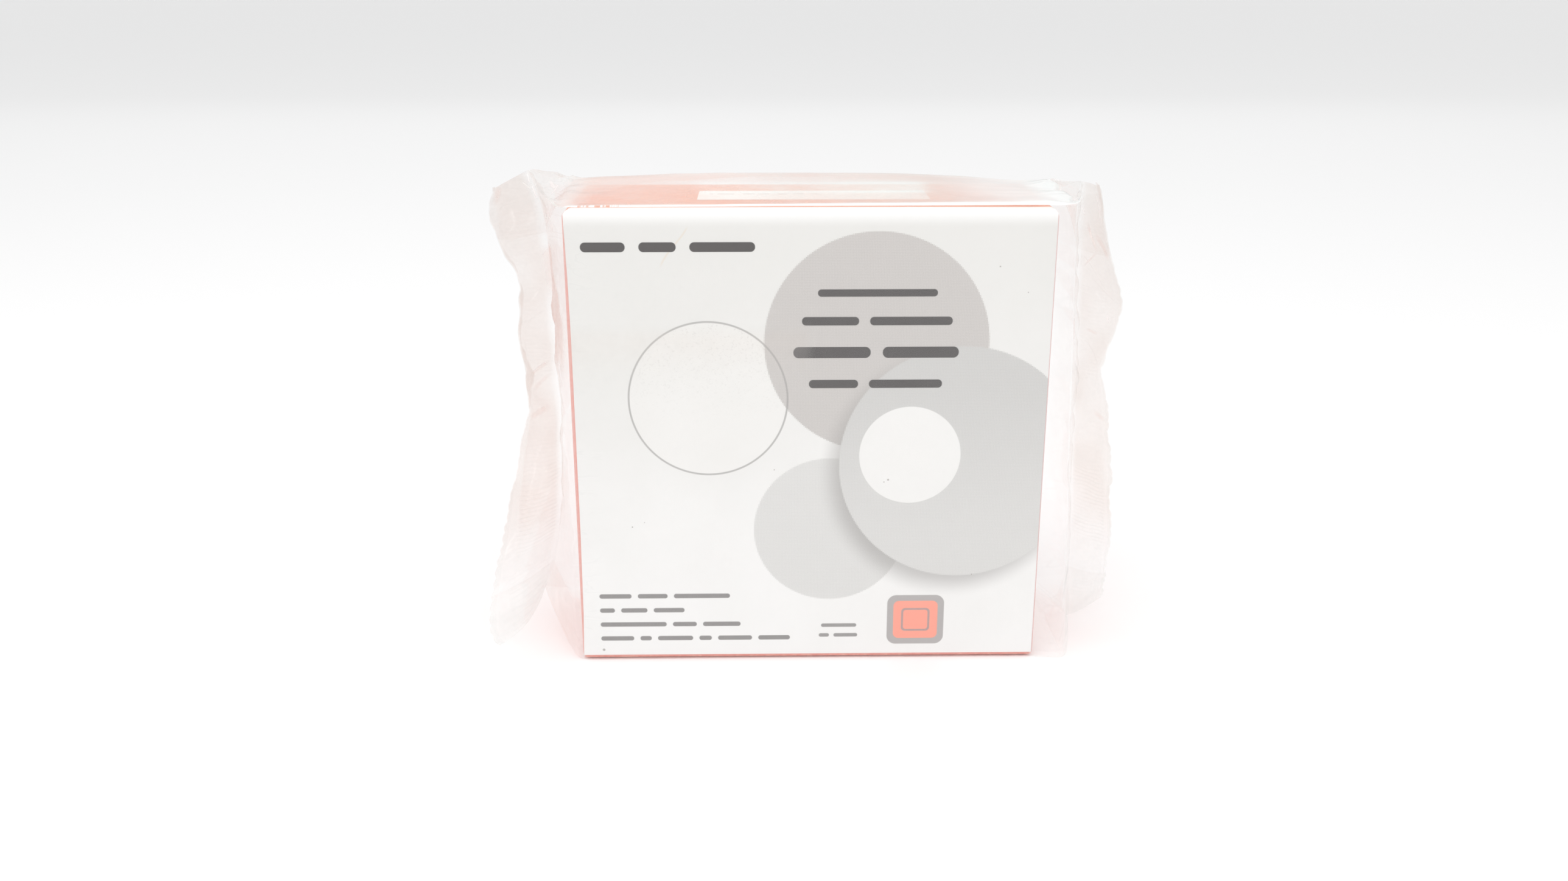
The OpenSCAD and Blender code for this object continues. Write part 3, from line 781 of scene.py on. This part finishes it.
def label_material():
    mat, g = material("face_label_print")
    p = g.place()
    xyz = g.new("ShaderNodeSeparateXYZ")
    g.link(p, xyz.inputs[0])
    x, z = xyz.outputs[0], xyz.outputs[2]
    # painted shade: the label darker towards the top, lighter low down where the floor's bounce falls on it
    soft = g.noise(p, 0.05, 2)
    paper_with_painted_shade = g.mix(g.ramp(g.add(z, g.mul(soft, 60)), 20, 110, 1.0, 0.0), srgb(227, 226, 223), srgb(241, 240, 239))
    # painted highlight along the label's rolled top edge
    base = g.mix(g.ramp(z, 76.6, 79.4, 0.0, 1.0), paper_with_painted_shade, srgb(248, 248, 247))
    AA = 0.06

    def disc(cx, cz, r, edge=AA):
        dx, dz = g.sub(x, cx), g.sub(z, cz)
        d = g.m("SQRT", g.add(g.mul(dx, dx), g.mul(dz, dz)))
        return g.ramp(d, r - edge, r + edge, 1.0, 0.0), d

    def bar(cx, cz, hx, hz, r=None, edge=AA):
        """Rounded bar, half sizes hx by hz."""
        r = min(hx, hz) * 0.6 if r is None else r
        ax = g.mx(g.sub(g.m("ABSOLUTE", g.sub(x, cx)), hx - r), 0.0)
        az = g.mx(g.sub(g.m("ABSOLUTE", g.sub(z, cz)), hz - r), 0.0)
        d = g.m("SQRT", g.add(g.mul(ax, ax), g.mul(az, az)))
        return g.ramp(d, r - edge, r + edge, 1.0, 0.0)

    grain = g.ramp(g.noise(p, 7.0, 1), 0.3, 0.7, -1.0, 1.0)
    dots = g.mul(g.m("SINE", g.mul(g.add(x, z), 12.3)), g.m("SINE", g.mul(g.sub(x, z), 12.3)))
    ragged = g.mul(dots, 0.16)

    def tone(rgb, depth):
        """A printed grey with the screen's dots and grain in it."""
        lo = tuple(max(0, c - depth) for c in rgb)
        hi = tuple(min(255, c + depth) for c in rgb)
        f = g.add(0.5, g.add(g.mul(grain, 0.22), g.mul(dots, 0.34)))
        return g.mix(g.m("MAXIMUM", f, 0.0, clamp=True), srgb(*lo), srgb(*hi))

    def screened(cx, cz, r):
        dx, dz = g.sub(x, cx), g.sub(z, cz)
        d = g.add(g.m("SQRT", g.add(g.mul(dx, dx), g.mul(dz, dz))), ragged)
        return g.ramp(d, r - 0.05, r + 0.05, 1.0, 0.0)

    # three overlapping discs, with a soft shadow where one lies over another
    a = screened(11.0, 57.5, 18.6)
    ring_out, _ = disc(-17.0, 48.0, 13.4, 0.07)
    ring_in, fade = disc(-17.0, 48.0, 13.1, 0.07)
    stipple = g.ramp(g.noise(p, 3.2, 2), 0.60, 0.66)
    base = g.mix(g.mul(g.mul(ring_in, stipple), g.ramp(z, 40.0, 60.0, 0.0, 0.30)), base, srgb(170, 166, 163))
    base = g.mix(g.mul(ring_in, 0.35), base, srgb(238, 236, 233))
    base = g.mix(a, base, tone((198, 194, 191), 9))
    base = g.mix(g.mul(g.sub(ring_out, ring_in), 0.75), base, srgb(160, 157, 155))
    c = screened(3.5, 24.5, 13.0)
    base = g.mix(c, base, tone((216, 215, 213), 7))
    sh, _ = disc(24.2, 34.6, 20.6, 2.6)
    base = g.mix(g.mul(sh, 0.62), base, srgb(150, 147, 145))
    b = screened(25.6, 36.4, 20.6)
    base = g.mix(b, base, g.mix(g.ramp(z, 20.0, 55.0), tone((213, 212, 210), 7), tone((201, 200, 198), 7)))
    inner, _ = disc(17.0, 38.0, 8.6)
    base = g.mix(inner, base, srgb(236, 235, 233))

    # bars where lines of type stood
    def ink(mask, rgb, strength=1.0):
        nonlocal base
        base = g.mix(g.mul(mask, strength), base, srgb(*rgb))

    def words(x0, cz, hz, runs, rgb, strength=1.0, gap=1.1):
        for run in runs:
            ink(bar(x0 + run / 2, cz, run / 2, hz, hz * 0.95), rgb, strength)
            x0 += run + gap

    # a faint brown hair mark, under the bars
    dx = g.sub(x, g.add(-21.2, g.mul(g.m("SINE", g.mul(g.sub(z, 74.0), 0.42)), 1.3)))
    line = g.ramp(g.m("ABSOLUTE", g.add(dx, g.mul(g.sub(76.5, z), 0.30))), 0.05, 0.28, 1.0, 0.0)
    hair = g.mul(line, g.mul(g.ramp(z, 70.0, 71.5), g.ramp(z, 76.0, 77.2, 1.0, 0.0)))
    ink(hair, (224, 212, 196), 0.55)
    words(-37.2, 73.6, 0.80, (7.2, 6.0, 10.6), (66, 61, 60), gap=2.2)
    words(1.2, 66.0, 0.62, (19.6,), (74, 70, 69))
    words(-1.4, 61.3, 0.72, (9.4, 13.6), (74, 70, 69), gap=1.8)
    words(-2.8, 56.0, 0.95, (12.8, 12.6), (74, 70, 69), gap=2.0)
    words(-0.2, 50.6, 0.72, (8.2, 12.2), (74, 70, 69), gap=1.8)
    words(-36.6, 12.2, 0.42, (5.6, 5.2, 9.8), (140, 137, 136))
    words(-36.6, 9.5, 0.42, (2.6, 4.6, 5.4), (140, 137, 136))
    words(-36.6, 6.8, 0.42, (11.6, 4.2, 6.6), (140, 137, 136))
    words(-36.6, 4.1, 0.42, (5.8, 2.0, 6.2, 2.2, 6.0, 5.6), (140, 137, 136))
    words(2.2, 6.4, 0.34, (6.2,), (150, 147, 146))
    words(1.8, 4.5, 0.34, (1.8, 4.2), (150, 147, 146), gap=0.8)
    # plain coral square in a grey frame
    ink(bar(18.8, 7.4, 5.0, 4.7, 1.6), (176, 172, 171))
    ink(bar(18.8, 7.4, 3.9, 3.6, 1.0), (247, 160, 140))
    ink(g.sub(bar(18.8, 7.4, 2.5, 2.2, 0.7), bar(18.8, 7.4, 2.15, 1.85, 0.5)), (176, 150, 148))

    # painted shade and coral reflection on its right cut edge: a thin darker line
    ink(g.ramp(g.sub(x, g.mul(z, 0.0019)), 39.58, 39.64), (212, 174, 172), 0.85)
    # a few specks of dirt
    for cx, cz, r in ((13.4, 33.6, 0.16), (12.7, 33.2, 0.10), (-36.2, 1.9, 0.24), (-30.4, 25.2, 0.12), (-28.3, 26.0, 0.08),
                      (30.8, 70.3, 0.12), (35.6, 66.0, 0.09), (-6.0, 35.5, 0.10), (28.4, 16.0, 0.10)):
        ink(disc(cx, cz, r, 0.05)[0], (120, 108, 100), 0.6)

    s = g.new("ShaderNodeBsdfPrincipled")
    g.link(base, s.inputs["Base Color"])
    g.link(g.ramp(g.noise(p, 0.12, 2), 0.3, 0.7, 0.29, 0.33), s.inputs["Roughness"])
    g.link(g.bump(g.noise(p, 9.0, 2), 0.000004, 0.5), s.inputs["Normal"])
    finish_surface(g, s.outputs[0])
    return mat


def strip_material():
    mat, g = material("lot_strip_paper")
    p = g.place()
    fibre = g.noise(p, 5.0, 4, 0.65)
    xyz = g.new("ShaderNodeSeparateXYZ")
    g.link(p, xyz.inputs[0])
    x, y = xyz.outputs[0], xyz.outputs[1]
    base = g.mix(g.ramp(fibre, 0.3, 0.75), srgb(244, 242, 238), srgb(250, 248, 245))
    # a row of faint worn dashes
    dash = g.m("PINGPONG", g.add(x, g.mul(g.noise(g.place((0.16, 0, 0)), 1.0, 1), 6.0)), 1.5)
    row = g.mul(g.ramp(dash, 0.45, 0.6), g.ramp(g.m("ABSOLUTE", g.sub(y, 1.6)), 0.75, 0.9, 1.0, 0.0))
    row = g.mul(row, g.mul(g.ramp(x, -17.0, -16.6), g.ramp(x, 1.6, 2.0, 1.0, 0.0)))
    base = g.mix(g.mul(row, 0.35), base, srgb(190, 186, 184))
    s = g.new("ShaderNodeBsdfPrincipled")
    g.link(base, s.inputs["Base Color"])
    g.link(g.ramp(fibre, 0.3, 0.75, 0.55, 0.68), s.inputs["Roughness"])
    g.link(g.bump(fibre, 0.00003, 0.5), s.inputs["Normal"])
    finish_surface(g, s.outputs[0])
    return mat


# Lines in the film: distance round the tube and along it at each end of the line, then half
# its width. On a fin, the place along is 46 mm at the root and grows towards the rim.
GLINTS = [
    (95.8, -46.2, 93.4, -46.5, 0.18), (93.8, -46.3, 90.6, -46.3, 0.22), (94.6, -47.6, 92.4, -46.6, 0.10),
    (124.2, -44.7, 119.7, -43.6, 0.30), (122.1, -43.2, 118.0, -43.9, 0.22), (94.4, -42.6, 88.0, -42.4, 0.14),
    (94.2, 50.3, 92.6, 50.6, 0.20), (93.2, 50.6, 89.8, 51.7, 0.24), (73.8, 52.4, 72.4, 53.1, 0.22),
    (92.0, 46.4, 90.2, 47.4, 0.12), (72.4, 46.1, 68.0, 46.2, 0.14),
]
# painted shade: darker lines along folds
PAINTED_FOLD_SHADES = [
    (65.7, -54.3, 59.5, -53.8, 0.16), (65.8, -53.4, 59.8, -52.0, 0.16), (68.0, -51.8, 70.8, -47.4, 0.30),
    (89.1, -52.0, 88.9, -46.9, 0.45), (87.6, -52.9, 87.3, -47.3, 0.45), (86.0, -52.9, 85.7, -47.8, 0.45),
    (58.4, -52.0, 61.1, -47.3, 0.30), (84.4, 46.6, 78.1, 52.9, 0.14), (84.1, 47.1, 81.2, 46.9, 0.20),
    (69.2, 47.8, 64.1, 53.3, 0.20), (80.2, 49.0, 76.0, 55.0, 0.25),
]
# painted reflections of the coral box: coral streaks in the film's folds
PAINTED_CORAL_STREAKS = [
    (91.6, -57.0, 95.4, -52.4, 1.30), (58.0, -52.0, 61.0, -47.3, 0.50), (55.3, -51.1, 58.6, -47.3, 0.50),
    (49.6, -56.0, 52.4, -48.0, 0.80), (89.6, 48.0, 84.7, 49.9, 0.45), (87.9, 49.7, 83.7, 53.9, 0.80),
    (70.8, 48.3, 70.3, 50.6, 0.35), (56.2, 51.7, 54.9, 55.2, 0.60), (84.8, 50.0, 81.6, 47.4, 0.25),
]


def film_material():
    mat, g = material("clear_film")
    p = g.place()
    read = lambda name: g.new("ShaderNodeAttribute", attribute_name=name).outputs["Fac"]
    veil, blush, shade, fold, dim = read("veil"), read("blush"), read("shade"), read("fold"), read("dim")
    across, along, crease = read("across"), read("along"), read("crease")

    def stretched(fa, fl, shift, detail):
        v = g.new("ShaderNodeCombineXYZ")
        g.link(g.mul(across, fa), v.inputs[0])
        g.link(g.mul(along, fl), v.inputs[1])
        v.inputs[2].default_value = shift
        return g.noise(v.outputs[0], 1.0, detail, 0.5)

    def hairline(n, at, wide):
        return g.ramp(g.m("ABSOLUTE", g.sub(n, at)), wide * 0.35, wide, 1.0, 0.0)

    # painted highlight and shade along sharp creases that run with the gathers: a white line, with a duller, darker one
    # beside it
    one, two = stretched(0.55, 0.11, 3.0, 1.5), stretched(0.22, 0.055, 9.0, 2.5)
    some = g.ramp(stretched(0.30, 0.22, 17.0, 1.0), 0.52, 0.64)
    more = g.ramp(stretched(0.16, 0.14, 27.0, 1.0), 0.44, 0.56)
    painted_glints = g.mx(g.mul(hairline(one, 0.50, 0.016), some), g.mul(hairline(two, 0.48, 0.012), more))
    painted_crease_shade = g.mx(g.mul(hairline(one, 0.535, 0.03), some), g.mul(hairline(two, 0.505, 0.022), more))
    painted_glints, painted_crease_shade = g.mul(painted_glints, crease), g.mul(painted_crease_shade, crease)

    def stroke(a0, l0, a1, l1, half):
        """A tapered line in the film, from one place to another."""
        da, dl = a1 - a0, l1 - l0
        sq = da * da + dl * dl
        ln = math.sqrt(sq)
        t = g.m("MULTIPLY_ADD", across, da / sq, -(a0 * da + l0 * dl) / sq)
        t = g.m("MULTIPLY_ADD", along, dl / sq, t, clamp=True)
        off = g.m("MULTIPLY_ADD", across, dl / ln, (l0 * da - a0 * dl) / ln)
        off = g.m("ABSOLUTE", g.m("MULTIPLY_ADD", along, -da / ln, off))
        taper = g.m("MULTIPLY", g.mul(t, 5.0), g.sub(1.0, t), clamp=True)
        return g.mul(g.ramp(off, 0.3 * half, half, 1.0, 0.0), taper)

    def strokes(rows):
        out = stroke(*rows[0])
        for row in rows[1:]:
            out = g.mx(out, stroke(*row))
        return out

    glints = strokes(GLINTS)
    painted_glints = g.mx(painted_glints, glints)
    # painted shade lines along the listed folds too
    painted_crease_shade = g.mx(painted_crease_shade, g.mul(strokes(PAINTED_FOLD_SHADES), 0.55))
    # painted coral reflections in the folds
    painted_coral_streaks = g.mul(strokes(PAINTED_CORAL_STREAKS), 0.6)

    # the haze's colour: pinker with the painted coral reflection, greyer with the painted shade, coral in the painted
    # streaks, darker along the painted crease shade
    hue = g.mix(blush, srgb(250, 250, 248), srgb(246, 226, 216))
    grey = g.mix(blush, srgb(231, 242, 242), srgb(232, 219, 213))
    hue = g.mix(shade, hue, grey)
    hue = g.mix(painted_coral_streaks, hue, srgb(242, 206, 195))
    hue = g.mix(g.mul(painted_crease_shade, 0.7), hue, srgb(230, 224, 221))
    # painted highlight along the top's front edge, white; near the left corner it breaks into dashes
    xyz = g.new("ShaderNodeSeparateXYZ")
    g.link(p, xyz.inputs[0])
    gaps = g.ramp(g.noise(g.place((0.75, 0, 0)), 1.0, 2), 0.42, 0.52)
    solid = g.ramp(xyz.outputs[0], -33.0, -29.5)
    dashes = g.mul(fold, g.mx(gaps, solid))
    # painted highlights in white: the dashes and the glints
    white = g.mx(dashes, painted_glints)
    hue = g.mix(white, hue, srgb(254, 253, 252))

    clear = g.new("ShaderNodeBsdfTransparent")
    tone = g.mix(dim, (0.997, 0.994, 0.993, 1), (0.950, 0.918, 0.902, 1))
    g.link(g.mix(g.mul(dim, -1.0), tone, (0.955, 0.990, 0.990, 1)), clear.inputs["Color"])
    haze = g.new("ShaderNodeBsdfPrincipled")
    g.link(hue, haze.inputs["Base Color"])
    haze.inputs["Roughness"].default_value = 0.5
    haze.inputs["Specular IOR Level"].default_value = 0.2
    cloud = g.ramp(g.noise(p, 0.25, 3, 0.5), 0.3, 0.75, 0.75, 1.25)
    through = g.new("ShaderNodeBsdfTranslucent")
    g.link(hue, through.inputs["Color"])
    both = g.new("ShaderNodeMixShader")
    slack = g.mul(g.ramp(xyz.outputs[0], 20.0, 36.0), g.ramp(xyz.outputs[2], 79.2, 79.9))
    g.link(g.mul(g.sub(1.0, dashes), g.sub(0.5, g.mul(slack, 0.32))), both.inputs[0])
    g.link(haze.outputs[0], both.inputs[1])
    g.link(through.outputs[0], both.inputs[2])
    amount = g.add(veil, g.mul(g.sub(cloud, 1.0), g.mul(veil, g.sub(1.0, veil))))
    amount = g.add(amount, g.add(g.mul(painted_crease_shade, 0.16), g.mul(painted_coral_streaks, 0.22)))
    amount = g.mx(amount, g.mx(g.mx(g.mul(painted_glints, 0.6), g.mul(glints, 0.9)), dashes))
    m1 = g.new("ShaderNodeMixShader")
    g.link(g.m("MINIMUM", amount, 1.0), m1.inputs[0])
    g.link(clear.outputs[0], m1.inputs[1])
    g.link(both.outputs[0], m1.inputs[2])
    gloss = g.new("ShaderNodeBsdfGlossy")
    gloss.inputs["Color"].default_value = (1, 1, 1, 1)
    gloss.inputs["Roughness"].default_value = 0.12
    facing = g.new("ShaderNodeLayerWeight")
    facing.inputs["Blend"].default_value = 0.5
    rise = g.m("POWER", facing.outputs["Facing"], 4.0)
    m2 = g.new("ShaderNodeMixShader")
    g.link(g.mul(g.add(g.mul(rise, 0.45), 0.05), read("shine")), m2.inputs[0])
    g.link(m1.outputs[0], m2.inputs[1])
    g.link(gloss.outputs[0], m2.inputs[2])
    finish_surface(g, m2.outputs[0])
    return mat


def dress(node, mat):
    mesh = NODES[node].data
    mesh.materials.clear()
    mesh.materials.append(mat)


camera()
studio()
dress("carton", carton_material())
dress("face_label", label_material())
dress("lot_label", strip_material())

verts, faces, looks, seam_parts = film_mesh()
film = mesh_object("film_skin", verts, faces, looks)
seam = mesh_object("film_back_seam", *seam_parts)
clear_film = film_material()
for piece in (film, seam):
    piece.data.materials.append(clear_film)
    piece.visible_shadow = False      # clear film throws next to no shadow
    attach(piece, "root")
    print(piece.name, "triangles", sum(len(p.vertices) - 2 for p in piece.data.polygons))
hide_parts("film_wrap")
